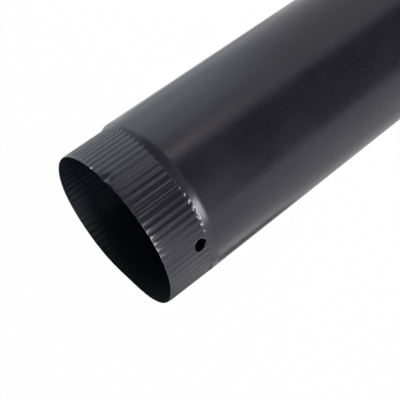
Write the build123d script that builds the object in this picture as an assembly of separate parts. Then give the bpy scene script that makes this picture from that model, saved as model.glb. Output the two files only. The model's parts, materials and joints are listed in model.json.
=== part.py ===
from build123d import *
import math
import os

# A length of single-wall stove pipe, rolled from one steel sheet and welded along one seam.
# It stands on its plain end, with its axis on +Z and its swaged and crimped end at the top.

# Pipe
bore_diameter = 152.4
sheet = 0.6
overall_length = 610.0

# Swaged end: an S-shaped shoulder, a narrow plain ring at its foot, and a band of shallow flutes
# that rise from the ring, taper a little towards the rim and slip into the next pipe
shoulder_length = 8.0
ring_length = 0.5
run_out_length = 2.0
crimp_length = 43.5
flute_count = 75
flute_depth = 0.5
crest_diameter_at_shoulder = 151.5
crest_diameter_at_rim = 150.8

# Round hole through the crimped band, beside the shoulder, on the front at -Y
hole_diameter = 11.0
hole_from_rim = 35.6
hole_azimuth = 270.0

# Weld bead of the long seam, a quarter turn from the hole, on the body only
seam_azimuth = 180.0
bead_width = 3.0
bead_height = 0.25

body_radius = bore_diameter / 2 + sheet
crest_radius = crest_diameter_at_shoulder / 2
rim_radius = crest_diameter_at_rim / 2
ring_radius = crest_radius - flute_depth
rim_height = overall_length
ring_height = rim_height - crimp_length
flute_height = ring_height + ring_length
shoulder_height = ring_height - shoulder_length
flute_pitch = 360 / flute_count


def on_ring(radius, azimuth, height):
    """Point at a radius and an azimuth in degrees round the pipe's axis."""
    turn = math.radians(azimuth)
    return (radius * math.cos(turn), radius * math.sin(turn), height)


def rolled_body():
    """Plain cylinder, S-shaped shoulder and foot ring, revolved from the section of the bent sheet."""
    half_drop = (body_radius - ring_radius) / 2
    half_rise = shoulder_length / 2
    middle_radius = body_radius - half_drop
    middle_height = shoulder_height + half_rise
    lean = 2 * math.atan2(half_drop, half_rise)
    inner_middle_radius = middle_radius - sheet * math.cos(lean)
    inner_middle_height = middle_height - sheet * math.sin(lean)
    up = (0, 1)
    with BuildSketch(Plane.XZ) as section:
        with BuildLine():
            outside = Line((body_radius, 0), (body_radius, shoulder_height))
            bend_in = TangentArc(outside @ 1, (middle_radius, middle_height), tangent=up)
            bend_up = TangentArc(bend_in @ 1, (ring_radius, ring_height), tangent=bend_in % 1)
            ring = Line(bend_up @ 1, (ring_radius, flute_height))
            inside = Line((body_radius - sheet, 0), (body_radius - sheet, shoulder_height))
            inner_in = TangentArc(inside @ 1, (inner_middle_radius, inner_middle_height), tangent=up)
            inner_up = TangentArc(inner_in @ 1, (ring_radius - sheet, ring_height), tangent=inner_in % 1)
            inner_ring = Line(inner_up @ 1, (ring_radius - sheet, flute_height))
            Line(ring @ 1, inner_ring @ 1)
            Line(outside @ 0, inside @ 0)
        make_face()
    return revolve(section.sketch, Axis.Z)


def fluted_outline(crest, depth, height):
    """Filled outline of the crimp at one height: a ridge arc and a groove arc for each flute."""
    waist = crest - depth / 2
    arcs = []
    for flute in range(flute_count):
        ridge = (flute + 0.5) * flute_pitch
        before = on_ring(waist, ridge - flute_pitch / 4, height)
        top = on_ring(crest, ridge, height)
        after = on_ring(waist, ridge + flute_pitch / 4, height)
        bottom = on_ring(crest - depth, ridge + flute_pitch / 2, height)
        following = on_ring(waist, ridge + flute_pitch * 3 / 4, height)
        arcs.append(ThreePointArc(before, top, after))
        arcs.append(ThreePointArc(after, bottom, following))
    return Face(Wire(arcs))


def fluted_plug(inset):
    """Solid core of the crimped band, drawn in from its outer surface by the inset."""
    outlines = [
        fluted_outline(ring_radius - inset, 0, flute_height),
        fluted_outline(crest_radius - inset, flute_depth, flute_height + run_out_length),
        fluted_outline(rim_radius - inset, flute_depth, rim_height),
    ]
    return loft(outlines, ruled=True)


def crimped_band():
    """Fluted wall of the male end, one sheet thick."""
    return fluted_plug(0) - fluted_plug(sheet)


def seam_bead():
    """Low rounded bead of weld down the outside of the body."""
    half_angle = math.degrees(bead_width / 2 / body_radius)
    toe = body_radius - sheet / 2
    with BuildSketch() as section:
        with BuildLine():
            left = on_ring(body_radius, seam_azimuth - half_angle, 0)
            crown = on_ring(body_radius + bead_height, seam_azimuth, 0)
            right = on_ring(body_radius, seam_azimuth + half_angle, 0)
            ThreePointArc(left, crown, right)
            Polyline(
                right,
                on_ring(toe, seam_azimuth + half_angle, 0),
                on_ring(toe, seam_azimuth - half_angle, 0),
                left,
            )
        make_face()
    return extrude(section.sketch, shoulder_height)


def hole_drill():
    """Round bar along the hole's own axis, through one wall only."""
    centre = on_ring(crest_radius, hole_azimuth, rim_height - hole_from_rim)
    outward = on_ring(1, hole_azimuth, 0)
    drill = Cylinder(hole_diameter / 2, crest_radius / 2)
    return Plane(origin=centre, z_dir=outward) * drill


stove_pipe = rolled_body() + crimped_band() + seam_bead() - hole_drill()

os.makedirs("parts", exist_ok=True)
export_step(stove_pipe, "parts/stove_pipe.step")
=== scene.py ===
import json
import bpy
import numpy as np
from mathutils import Matrix, Vector


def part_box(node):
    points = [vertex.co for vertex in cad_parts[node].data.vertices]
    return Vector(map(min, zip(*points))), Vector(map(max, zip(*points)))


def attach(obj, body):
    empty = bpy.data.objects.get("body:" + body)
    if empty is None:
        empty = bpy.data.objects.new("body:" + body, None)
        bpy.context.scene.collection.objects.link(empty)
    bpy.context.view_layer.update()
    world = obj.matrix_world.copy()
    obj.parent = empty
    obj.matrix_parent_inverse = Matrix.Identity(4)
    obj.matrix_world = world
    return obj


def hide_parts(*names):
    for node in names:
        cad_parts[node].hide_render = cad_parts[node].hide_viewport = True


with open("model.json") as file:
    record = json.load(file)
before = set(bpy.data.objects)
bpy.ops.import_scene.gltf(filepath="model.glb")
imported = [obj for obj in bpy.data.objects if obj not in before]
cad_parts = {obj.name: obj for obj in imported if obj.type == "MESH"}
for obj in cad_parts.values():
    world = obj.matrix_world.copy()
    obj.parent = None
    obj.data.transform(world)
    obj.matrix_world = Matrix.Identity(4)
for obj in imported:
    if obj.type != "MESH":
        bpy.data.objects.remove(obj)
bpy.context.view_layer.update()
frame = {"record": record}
bpy.context.scene.view_settings.view_transform = "Standard"

# Stove pipe
# One sheet of thin steel, rolled into a tube and welded down one seam. Its top end is swaged in by a
# shoulder and crimped into shallow flutes, a hole is punched beside the shoulder, and it is painted black.
mount_list = frame["record"]["mounts"]
plain_end = next(mount for mount in mount_list if mount["name"] == "plain_end")
side_hole = next(mount for mount in mount_list if mount["name"] == "side_hole")

rim_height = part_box("stove_pipe")[1][2]
body_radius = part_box("stove_pipe")[1][0]
sheet = body_radius - plain_end["dims"]["r_mm"] / 1000
shoulder_height = plain_end["dims"]["length_mm"] / 1000


def smooth_step(value, start, end):
    """0 before start, 1 after end, and a cubic with level ends between them."""
    part = np.clip((value - start) / (end - start), 0, 1)
    return part * part * (3 - 2 * part)


def turn_from(azimuth, centre):
    """Angle from the centre to an azimuth, the short way round, in radians."""
    return np.angle(np.exp(1j * (azimuth - centre)))


def swells(azimuth, places):
    """Sum of bell curves round a circle. Each place gives its height, then its azimuth and its spread in
    degrees."""
    return sum(
        height * np.exp(-0.5 * (turn_from(azimuth, np.radians(centre)) / np.radians(spread)) ** 2)
        for height, centre, spread in places
    )


# Shoulder: a short slope between two bends, whose foot runs a little out of square
shoulder_foot = shoulder_height - 0.0012
shoulder_length = 0.0111
shoulder_drop = 0.0011
foot_lean = 0.004
lean_azimuth = np.radians(80)
body_bend = 0.0035
crimp_bend = 0.003


def shoulder_share(azimuth, height):
    """0 on the body and 1 on the crimp: a straight slope between two bends, each bend a parabola. The foot
    of the slope rises and falls once round the pipe, as a cosine."""
    lean = foot_lean * (0.5 + 0.5 * np.cos(azimuth - lean_azimuth))
    up = height - shoulder_foot - lean
    straight = shoulder_length - lean - body_bend - crimp_bend
    first = np.clip(up, 0, body_bend) ** 2 / (2 * body_bend)
    middle = np.clip(up - body_bend, 0, straight)
    last = np.clip(up - body_bend - straight, 0, crimp_bend)
    run = straight + (body_bend + crimp_bend) / 2
    return (first + middle + last - last ** 2 / (2 * crimp_bend)) / run


# Flutes: pressed by crimping rolls, so their pitch drifts and their depth varies round the pipe. Each depth
# wave gives its share, count and turn in radians, and each worn place its share, azimuth and spread.
crimp_start = shoulder_height + 0.008
crimp_length = rim_height - crimp_start
flute_count = 75
flute_depth = 0.00055
ridge_power = 1.3
pitch_drift = 0.045
drift_azimuth = np.radians(40)
drift_level = 0.985
groove_start = crimp_start - 0.0019
groove_full = crimp_start + 0.0015
ridge_end = 0.0080
ridge_bend = 0.75
rim_taper = 0.00025
depth_waves = [(0.25, 5, np.radians(40)), (0.06, 23, 2)]
worn_places = [(0.3, -23, 9), (0.25, -99, 7)]


def flute_wave(azimuth):
    """0 in a groove and 1 on a ridge: a cosine, raised to a power that narrows the ridges. A slow sine
    makes its pitch drift."""
    drift = pitch_drift * (np.sin(azimuth - drift_azimuth) + drift_level)
    return (0.5 - 0.5 * np.cos(flute_count * (azimuth + drift))) ** ridge_power


def flute_press(azimuth, height):
    """How far the rolls press the sheet in: grooves that end steeply in the shoulder, and ridges bent in
    along a cubic at the rim. Sines and bells round the pipe make the depth uneven."""
    wave = flute_wave(azimuth)
    groove = (1 - wave) * smooth_step(height, groove_start, groove_full)
    to_rim = np.clip((rim_height - height) / ridge_end, 0, 1)
    ridge = ridge_bend * wave ** 2 * (1 - to_rim) ** 3
    uneven = 1 + sum(share * np.sin(count * azimuth + turn) for share, count, turn in depth_waves)
    return flute_depth * uneven * (1 - swells(azimuth, worn_places)) * (groove + ridge)


# Bends from handling the thin end: how far out each goes at the rim, then its azimuth and spread in degrees
crimp_aside = 0.00124
aside_azimuth = np.radians(-166)
bend_length = 1.5 * crimp_length
flat_by_seam = (-0.0060, 170, 17)
slight_flat = (-0.0009, -112, 12)
back_bulge = (0.0037, 88, 20)
front_bulge = (0.0016, -58, 22)
knock = (-0.0018, -19.3, 1.8)
knock_length = 0.0045


def hand_bends(azimuth, height):
    """How far out the end is bent: the crimp pushed aside by a cosine, bells of flats and bulges that fade
    down the pipe, and one narrow dent, whose wave dies out below the rim."""
    aside = crimp_aside * np.cos(azimuth - aside_azimuth)
    from_rim = rim_height - height
    loose = 1 - smooth_step(from_rim, 0, bend_length)
    bent = swells(azimuth, [flat_by_seam, slight_flat, back_bulge, front_bulge])
    down = (from_rim / knock_length) ** 2
    dent = swells(azimuth, [knock]) * (1 - 0.5 * down) * np.exp(-0.5 * down)
    return aside * shoulder_share(azimuth, height) + bent * loose + dent


# Weld bead down the outside of the body
seam_azimuth = np.pi
bead_height = 0.00025
bead_width = 0.003
bead_end = shoulder_foot - 0.004


def weld_bead(azimuth, height):
    """Height of the bead: a parabola across its width, which fades out from its end to the shoulder."""
    across = body_radius * turn_from(azimuth, seam_azimuth)
    crown = bead_height * np.clip(1 - (2 * across / bead_width) ** 2, 0, 1)
    return crown * (1 - smooth_step(height, bead_end, shoulder_foot))


def pipe_radius(azimuth, height):
    """Outer radius: the body less the shoulder, the taper and the flutes, plus the bends and the bead."""
    taper = rim_taper * np.clip((height - crimp_start) / crimp_length, 0, 1)
    pressed = shoulder_drop * shoulder_share(azimuth, height) + taper + flute_press(azimuth, height)
    return body_radius - pressed + hand_bends(azimuth, height) + weld_bead(azimuth, height)


def sheet_point(azimuth, height, depth):
    """Point of the sheet at an azimuth and a height, the depth being taken inwards from the outer face."""
    radius = pipe_radius(azimuth, height) - depth
    return np.stack([radius * np.cos(azimuth), radius * np.sin(azimuth), height + 0 * radius], axis=-1)


# Section of the wall, a closed loop: up the outside, over the rounded rim, down the inside and round the
# foot. Its rows are closest where the sheet bends.
columns = 8 * flute_count
edge_radius = sheet / 2
foot_rows = [edge_radius, 0.0012, 0.003]
body_start = 0.01
groove_settled = groove_full + 0.003
ridge_start = rim_height - ridge_end
wall_rows = np.concatenate([
    foot_rows,
    np.linspace(body_start, bead_end, 12),
    np.linspace(shoulder_foot, groove_start, 16, endpoint=False),
    np.linspace(groove_start, groove_full, 8, endpoint=False),
    np.linspace(groove_full, groove_settled, 4, endpoint=False),
    np.linspace(groove_settled, ridge_start, 14, endpoint=False),
    np.linspace(ridge_start, rim_height - edge_radius, 14),
])
row_count = len(wall_rows)
edge_bend = np.linspace(0, np.pi, 7)[1:-1]
section_height = np.concatenate([
    wall_rows,
    rim_height - edge_radius + edge_radius * np.sin(edge_bend),
    wall_rows[::-1],
    edge_radius - edge_radius * np.sin(edge_bend),
])
section_depth = np.concatenate([
    np.zeros(row_count),
    edge_radius - edge_radius * np.cos(edge_bend),
    np.full(row_count, sheet),
    edge_radius + edge_radius * np.cos(edge_bend),
])
section_count = len(section_height)
azimuths = np.arange(columns) * 2 * np.pi / columns
wall_azimuth, wall_height = np.meshgrid(azimuths, section_height)
wall_depth = np.repeat(section_depth[:, None], columns, axis=1)
wall_number = np.arange(section_count * columns).reshape(section_count, columns)


def quads(numbers):
    """Faces of a grid of vertex numbers: each number with its neighbours, facing along column x row."""
    beside = np.roll(numbers, -1, axis=1)
    return np.stack([numbers[:-1], beside[:-1], beside[1:], numbers[1:]], axis=-1)


wall_faces = quads(np.concatenate([wall_number, wall_number[:1]]))

# Window of the grid that the hole's own rings fill, on both faces of the sheet
hole_height = side_hole["pos_m"][2]
hole_azimuth = np.arctan2(side_hole["pos_m"][1], side_hole["pos_m"][0]) % (2 * np.pi)
hole_radius = side_hole["dims"]["r_mm"] / 1000
hole_column = int(round(hole_azimuth / (2 * np.pi) * columns))
half_columns = 11
window_columns = np.arange(hole_column - half_columns, hole_column + half_columns + 1)
window_reach = 1.45 * hole_radius
low_row = np.searchsorted(wall_rows, hole_height - window_reach) - 1
high_row = np.searchsorted(wall_rows, hole_height + window_reach)
rows_in = np.arange(low_row, high_row)
inner_row = 2 * row_count + len(edge_bend) - 1
kept = np.ones(wall_faces.shape[:2], dtype=bool)
kept[np.ix_(rows_in, window_columns[:-1])] = False
kept[np.ix_(inner_row - 1 - rows_in, window_columns[:-1])] = False

# Border of the window, anticlockwise as seen from outside, measured from the hole's centre
loop_row = np.concatenate([
    np.full(2 * half_columns, low_row),
    rows_in,
    np.full(2 * half_columns, high_row),
    np.arange(high_row, low_row, -1),
])
loop_column = np.concatenate([
    window_columns[:-1],
    np.full(len(rows_in), window_columns[-1]),
    window_columns[:0:-1],
    np.full(len(rows_in), window_columns[0]),
])
loop_across = (azimuths[loop_column] - azimuths[hole_column]) * body_radius
loop_up = wall_rows[loop_row] - hole_height
loop_turn = np.arctan2(loop_up, loop_across)

# Rings from the window in to the punched edge, over it to the inner face, and out to the window again. The
# edge runs out of round by a bulge and by a torn lobe beside a tongue: how far out, then turn and spread.
lip_radius = 0.00018
edge_bulge = (0.0008, 155, 40)
torn_lobe = (0.0008, -92, 15)
torn_tongue = (-0.0005, -125, 12)

ring_steps = np.linspace(0, 1, 9)[1:]
lip_bend = np.linspace(0, np.pi / 2, 4)[1:]
ring_share = np.concatenate([ring_steps, np.ones(2 * len(lip_bend)), ring_steps[::-1]])[:, None]
ring_hole = hole_radius + lip_radius * np.concatenate([
    np.ones(len(ring_steps)),
    1 - np.sin(lip_bend),
    1 - np.sin(lip_bend[::-1]),
    np.ones(len(ring_steps)),
])
ring_depth = np.concatenate([
    np.zeros(len(ring_steps)),
    lip_radius * (1 - np.cos(lip_bend)),
    sheet - lip_radius * (1 - np.cos(lip_bend[::-1])),
    np.full(len(ring_steps), sheet),
])
ring_reach = ring_hole[:, None] + swells(loop_turn, [edge_bulge, torn_lobe, torn_tongue])
ring_across = (1 - ring_share) * loop_across + ring_share * ring_reach * np.cos(loop_turn)
ring_up = (1 - ring_share) * loop_up + ring_share * ring_reach * np.sin(loop_turn)
ring_azimuth = azimuths[hole_column] + ring_across / body_radius
ring_heights = hole_height + ring_up
ring_depths = np.repeat(ring_depth[:, None], len(loop_turn), axis=1)
ring_number = wall_number.size + np.arange(ring_azimuth.size).reshape(ring_azimuth.shape)
ring_faces = quads(np.concatenate([
    wall_number[loop_row, loop_column][None],
    ring_number,
    wall_number[inner_row - loop_row, loop_column][None],
]))

# Wall and rings together, without the points that the window leaves over
all_faces = np.concatenate([wall_faces[kept], ring_faces.reshape(-1, 4)])
used, all_faces = np.unique(all_faces, return_inverse=True)
all_faces = all_faces.reshape(-1, 4)
all_azimuth = np.concatenate([wall_azimuth.ravel(), ring_azimuth.ravel()])[used]
all_height = np.concatenate([wall_height.ravel(), ring_heights.ravel()])[used]
all_depth = np.concatenate([wall_depth.ravel(), ring_depths.ravel()])[used]

pipe_mesh = bpy.data.meshes.new("stove_pipe_sheet")
pipe_mesh.from_pydata(sheet_point(all_azimuth, all_height, all_depth), [], all_faces)
pipe_mesh.polygons.foreach_set("use_smooth", np.ones(len(all_faces), dtype=bool))

# How near each point is to a cut edge, 1 at it, and whether it is on the inner face
rim_reach = 0.0006
hole_reach = 0.0014
hole_across = (all_azimuth - azimuths[hole_column]) * body_radius
to_hole = np.hypot(hole_across, all_height - hole_height) - hole_radius
to_rim = np.minimum(rim_height - all_height, all_height)
edge_value = np.maximum(np.exp(-to_rim / rim_reach), np.exp(-np.maximum(to_hole, 0) / hole_reach))
pipe_mesh.attributes.new("cut_edge", "FLOAT", "POINT").data.foreach_set("value", edge_value)
pipe_mesh.attributes.new("inner_face", "FLOAT", "POINT").data.foreach_set("value", all_depth / sheet)

# Satin black stove paint: a fine orange peel, clouded in its gloss, rubbed grey along the cut edges, duller
# inside and painted darker there as shade, and chipped to bare steel at one place on the rim
black = (0.0080, 0.0074, 0.0118, 1)
worn_black = (0.0164, 0.0154, 0.0215, 1)
# Darker and bluer than the outside paint: a painted shade for the inside of the pipe, where little light
# reaches
inside_shade_black = (0.0038, 0.0056, 0.0110, 1)
scuffed = (0.085, 0.088, 0.085, 1)
bare_steel = (0.42, 0.42, 0.43, 1)
inner_dullness = 0.3
peel_share = 0.7
grain_share = 0.3
chip_azimuth = np.radians(-6.8)
chip_height = rim_height - 0.0004
chip_radius = 0.0012

paint = bpy.data.materials.new("stove_paint")
paint.use_nodes = True
tree = paint.node_tree
finish = tree.nodes["Principled BSDF"]
finish.inputs["IOR"].default_value = 1.45
finish.inputs["Specular Tint"].default_value = (0.95, 0.93, 1, 1)


def wire(tree, source, socket):
    """Joins an output to an input of the same node tree."""
    tree.links.new(source, socket)


def noise(tree, scale, detail):
    """Noise texture on the object's own coordinates, its scale in cells to the metre."""
    place = tree.nodes.new("ShaderNodeTexCoord")
    texture = tree.nodes.new("ShaderNodeTexNoise")
    texture.inputs["Scale"].default_value = scale
    texture.inputs["Detail"].default_value = detail
    wire(tree, place.outputs["Object"], texture.inputs["Vector"])
    return texture.outputs["Fac"]


def attribute(tree, name):
    """Value that the mesh carries at each point under a name."""
    carried = tree.nodes.new("ShaderNodeAttribute")
    carried.attribute_name = name
    return carried.outputs["Fac"]


def rescale(tree, value, old, new):
    """Carries a value from its old range to a new one in a straight line, held at the ends."""
    step = tree.nodes.new("ShaderNodeMapRange")
    for name, number in zip(("From Min", "From Max", "To Min", "To Max"), old + new):
        step.inputs[name].default_value = number
    wire(tree, value, step.inputs["Value"])
    return step.outputs["Result"]


def combine(tree, operation, first, second):
    """Math node of two values, the second of which may be a plain number."""
    step = tree.nodes.new("ShaderNodeMath")
    step.operation = operation
    wire(tree, first, step.inputs[0])
    if isinstance(second, float):
        step.inputs[1].default_value = second
    else:
        wire(tree, second, step.inputs[1])
    return step.outputs["Value"]


def mix_colour(tree, share, first, second):
    """Blend from the first colour, which may come from another node, to the second by a share."""
    step = tree.nodes.new("ShaderNodeMix")
    step.data_type = "RGBA"
    first_socket, second_socket = [socket for socket in step.inputs if socket.type == "RGBA"]
    wire(tree, share, step.inputs["Factor"])
    if isinstance(first, tuple):
        first_socket.default_value = first
    else:
        wire(tree, first, first_socket)
    second_socket.default_value = second
    return next(socket for socket in step.outputs if socket.type == "RGBA")


clouds = noise(tree, scale=22, detail=4)
rubbing = noise(tree, scale=240, detail=3)
peel = noise(tree, scale=650, detail=2)
speckle = noise(tree, scale=900, detail=2)
grain = noise(tree, scale=2600, detail=2)
inner_face = attribute(tree, "inner_face")
cut_edge = attribute(tree, "cut_edge")

rub = combine(tree, "MULTIPLY", cut_edge, rescale(tree, rubbing, (0.3, 0.65), (0.15, 1)))
scuff = rescale(tree, rub, (0.4, 0.85), (0, 1))
place = tree.nodes.new("ShaderNodeTexCoord")
from_chip = tree.nodes.new("ShaderNodeVectorMath")
from_chip.operation = "DISTANCE"
wire(tree, place.outputs["Object"], from_chip.inputs[0])
from_chip.inputs[1].default_value = sheet_point(chip_azimuth, chip_height, 0)
chip = rescale(tree, from_chip.outputs["Value"], (0.6 * chip_radius, 1.2 * chip_radius), (1, 0))

cloud_shade = rescale(tree, clouds, (0.35, 0.65), (0, 0.35))
speckle_shade = rescale(tree, speckle, (0.3, 0.7), (0, 0.65))
painted = mix_colour(tree, combine(tree, "ADD", cloud_shade, speckle_shade), black, worn_black)
# The inner face takes the painted shade colour of the inside
painted = mix_colour(tree, inner_face, painted, inside_shade_black)
painted = mix_colour(tree, scuff, painted, scuffed)
painted = mix_colour(tree, chip, painted, bare_steel)
wire(tree, painted, finish.inputs["Base Color"])
wire(tree, chip, finish.inputs["Metallic"])

roughness = rescale(tree, clouds, (0.3, 0.7), (0.23, 0.28))
roughness = combine(tree, "ADD", roughness, rescale(tree, grain, (0.3, 0.7), (-0.03, 0.03)))
roughness = combine(tree, "ADD", roughness, combine(tree, "MULTIPLY", inner_face, inner_dullness))
wire(tree, roughness, finish.inputs["Roughness"])

peel_height = combine(tree, "MULTIPLY", peel, peel_share)
grain_height = combine(tree, "MULTIPLY", grain, grain_share)
relief = tree.nodes.new("ShaderNodeBump")
relief.inputs["Strength"].default_value = 0.32
relief.inputs["Distance"].default_value = 0.0001
wire(tree, combine(tree, "ADD", peel_height, grain_height), relief.inputs["Height"])
wire(tree, relief.outputs["Normal"], finish.inputs["Normal"])

pipe_mesh.materials.append(paint)
stove_pipe = bpy.data.objects.new("stove_pipe_painted", pipe_mesh)
bpy.context.scene.collection.objects.link(stove_pipe)
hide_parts("stove_pipe")
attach(stove_pipe, "root")

# Floor
# A plain white sweep that the pipe stands on, a little raised at its far edge. It glows white away from the
# pipe but not under it, and its glow fades towards the pipe's foot: a painted shade round the foot, through
# which the paper's own shadow also shows.
flat_half = 20.0
far_half = 200.0
far_rise = 4.0
under_pipe = 0.97 * body_radius
shade_reach = 6 * body_radius
# Glow share beside the pipe, lower than far out: a painted shade round the foot
white_in_painted_shade = 0.4
white_around = 0.99

floor_mesh = bpy.data.meshes.new("floor_sweep")
floor_corners = np.array([[-1, -1, 0], [1, -1, 0], [1, 1, 0], [-1, 1, 0]])
floor_points = np.concatenate([flat_half * floor_corners, far_half * floor_corners + [0, 0, far_rise]])
floor_faces = [(0, 1, 2, 3), (0, 4, 5, 1), (1, 5, 6, 2), (2, 6, 7, 3), (3, 7, 4, 0)]
floor_mesh.from_pydata(floor_points, [], floor_faces)
floor = bpy.data.objects.new("floor", floor_mesh)
bpy.context.scene.collection.objects.link(floor)

white = bpy.data.materials.new("white_sweep")
white.use_nodes = True
tree = white.node_tree
paper = tree.nodes["Principled BSDF"]
paper.inputs["Base Color"].default_value = (0.9, 0.9, 0.9, 1)
paper.inputs["Roughness"].default_value = 0.9
paper.inputs["Specular IOR Level"].default_value = 0
rays = tree.nodes.new("ShaderNodeLightPath")
seen = combine(tree, "MAXIMUM", rays.outputs["Is Camera Ray"], rays.outputs["Is Glossy Ray"])
seen = combine(tree, "MAXIMUM", seen, rays.outputs["Is Transmission Ray"])
place = tree.nodes.new("ShaderNodeTexCoord")
from_axis = tree.nodes.new("ShaderNodeVectorMath")
from_axis.operation = "LENGTH"
wire(tree, place.outputs["Object"], from_axis.inputs[0])
outside = rescale(tree, from_axis.outputs["Value"], (under_pipe, body_radius), (0, 1))
# The glow fades in from the pipe's side to far out: a painted shade round the foot
painted_foot_shade = rescale(tree, from_axis.outputs["Value"], (body_radius, shade_reach), (white_in_painted_shade, white_around))
glow = tree.nodes.new("ShaderNodeEmission")
blend = tree.nodes.new("ShaderNodeMixShader")
wire(tree, combine(tree, "MULTIPLY", seen, combine(tree, "MULTIPLY", outside, painted_foot_shade)), blend.inputs[0])
wire(tree, paper.outputs["BSDF"], blend.inputs[1])
wire(tree, glow.outputs["Emission"], blend.inputs[2])
wire(tree, blend.outputs["Shader"], tree.nodes["Material Output"].inputs["Surface"])
floor_mesh.materials.append(white)

# Camera
# It stands above the crimped end, looks down past it along the pipe, and is rolled well over, so that the
# pipe runs from the lower left of the picture to the upper right.
camera_azimuth = np.radians(-46.65)
camera_out = 0.66085
camera_aside = -0.02322
camera_over_rim = 0.17856
camera_down = np.radians(21.3535)
camera_roll = np.radians(-126.758)
camera_lens = 72.547

camera = bpy.data.objects.new("camera", bpy.data.cameras.new("camera"))
camera.data.lens = camera_lens
camera.data.sensor_width = 36
camera_place = Matrix.Rotation(camera_azimuth, 4, "Z") @ Matrix.Translation(
    (camera_out, camera_aside, rim_height + camera_over_rim)
)
camera_turn = (
    Matrix.Rotation(np.pi / 2, 4, "Z")
    @ Matrix.Rotation(np.pi / 2 - camera_down, 4, "X")
    @ Matrix.Rotation(camera_roll, 4, "Z")
)
camera.matrix_world = camera_place @ camera_turn
bpy.context.scene.collection.objects.link(camera)
bpy.context.scene.camera = camera

# Light
# Soft studio light: an even grey room, a key panel beside the camera, and lit boards to both sides. Dark
# cloths and a net lie on the floor, where they show only in the paint's mirror image.
world = bpy.data.worlds.new("studio")
world.use_nodes = True
room = world.node_tree.nodes["Background"]
room.inputs["Color"].default_value = (0.8, 0.82, 0.85, 1)
room.inputs["Strength"].default_value = 0.4
bpy.context.scene.world = world
aim_height = 0.85 * rim_height


def panel(name, turn, out, height, wide, tall, watts, colour=(1, 1, 1)):
    """Rectangular lamp that faces the crimped end. Its turn round the pipe is in degrees from the camera,
    towards the left of the picture."""
    lamp = bpy.data.lights.new(name, "AREA")
    lamp.shape = "RECTANGLE"
    lamp.size = wide
    lamp.size_y = tall
    lamp.energy = watts
    lamp.color = colour
    azimuth = camera_azimuth + np.radians(turn)
    spot = Vector((out * np.cos(azimuth), out * np.sin(azimuth), height))
    aim = Vector((0, 0, aim_height)) - spot
    lamp_object = bpy.data.objects.new(name, lamp)
    lamp_object.location = spot
    lamp_object.rotation_euler = aim.to_track_quat("-Z", "Y").to_euler()
    bpy.context.scene.collection.objects.link(lamp_object)


def floor_card(name, shade, corners, cover=1, lift=0.002):
    """Flat card on the floor that shows only where the paint mirrors it. Its corners are measured from the
    pipe's axis, towards the camera and then towards the left of the picture. A net has a cover below 1."""
    mesh = bpy.data.meshes.new(name)
    places = np.column_stack([corners, np.full(len(corners), lift)])
    mesh.from_pydata(places, [], [tuple(range(len(corners)))])
    mesh.transform(Matrix.Rotation(camera_azimuth, 4, "Z"))
    card = bpy.data.objects.new(name, mesh)
    card.visible_camera = False
    card.visible_diffuse = False
    card.visible_shadow = False
    card.visible_transmission = False
    bpy.context.scene.collection.objects.link(card)
    cloth = bpy.data.materials.new(name)
    cloth.use_nodes = True
    dull = cloth.node_tree.nodes["Principled BSDF"]
    dull.inputs["Base Color"].default_value = (shade, shade, shade, 1)
    dull.inputs["Alpha"].default_value = cover
    dull.inputs["Roughness"].default_value = 0.95
    dull.inputs["Specular IOR Level"].default_value = 0
    mesh.materials.append(cloth)


floor_card("black_cloth", 0.01, [
    (0.2, 0.04), (0.2, -0.25), (1.3, -2.0), (2.6, -0.8), (6.0, -1.8), (6.0, 0.1), (2.5, 0.1), (2.4, 0.9),
    (0.9, 0.36),
])
floor_card("right_cloth", 0.15, [
    (-1.2, -1.12), (-0.8, -0.72), (-0.74, -0.6), (-0.85, -0.43), (-1.51, -0.67),
])
floor_card("crimp_cloth", 0.1, [(-0.87, -1.39), (-1.18, -1.14), (-2.52, -2.43), (-1.86, -2.97)])
floor_card("edge_cloth", 0.15, [
    (-1.68, -1.41), (-1.47, -0.78), (-1.64, -0.1), (-5.98, -0.4), (-4.6, -3.86),
])
floor_card("right_net", 0.3, [
    (-0.26, -0.99), (-0.59, -0.84), (-0.88, -0.51), (-1.02, -0.07), (-0.3, -0.02), (-0.26, -0.15),
    (-0.08, -0.29),
], cover=0.32, lift=0.004)
floor_card("far_cloth", 0.05, [(2.63, 0.96), (0.87, 2.66), (2.18, 8.73), (8.56, 2.78)])
floor_card("left_hem", 0.3, [(-0.44, 0.41), (-1.06, 0.99), (-1.16, 0.87), (-0.48, 0.36)])
floor_card("right_hem", 0.3, [(-0.85, -0.31), (-1.6, -0.49), (-1.64, -0.32), (-0.89, -0.16)])

cool_white = (0.76, 0.79, 1)
sky_white = (0.8, 0.87, 1)
deep_blue = (0.15, 0.22, 1)
pale_blue = (0.48, 0.66, 1)
warm_white = (1, 0.93, 0.82)
panel("key", turn=-43, out=1.3, height=0.60, wide=0.62, tall=0.34, watts=15.5)
panel("key_foot", turn=-30, out=1.25, height=0.27, wide=1.1, tall=0.3, watts=0.5)
panel("left_board", turn=78, out=0.95, height=0.3, wide=0.86, tall=0.6, watts=1.2, colour=cool_white)
panel("cool_board", turn=98, out=0.72, height=0.22, wide=1.3, tall=0.46, watts=0.26, colour=deep_blue)
panel("upper_board", turn=103, out=0.95, height=0.71, wide=1.3, tall=0.54, watts=2.1, colour=sky_white)
panel("warm_strip", turn=32, out=1.0, height=0.2, wide=0.15, tall=0.26, watts=0.2, colour=warm_white)
panel("mouth_panel", turn=-100, out=0.75, height=1.35, wide=0.3, tall=0.3, watts=2.4, colour=pale_blue)
panel("right_board", turn=-90, out=1.1, height=0.57, wide=0.9, tall=0.36, watts=0.8)
panel("right_strip", turn=-125, out=1.3, height=0.15, wide=0.16, tall=0.3, watts=0.12)
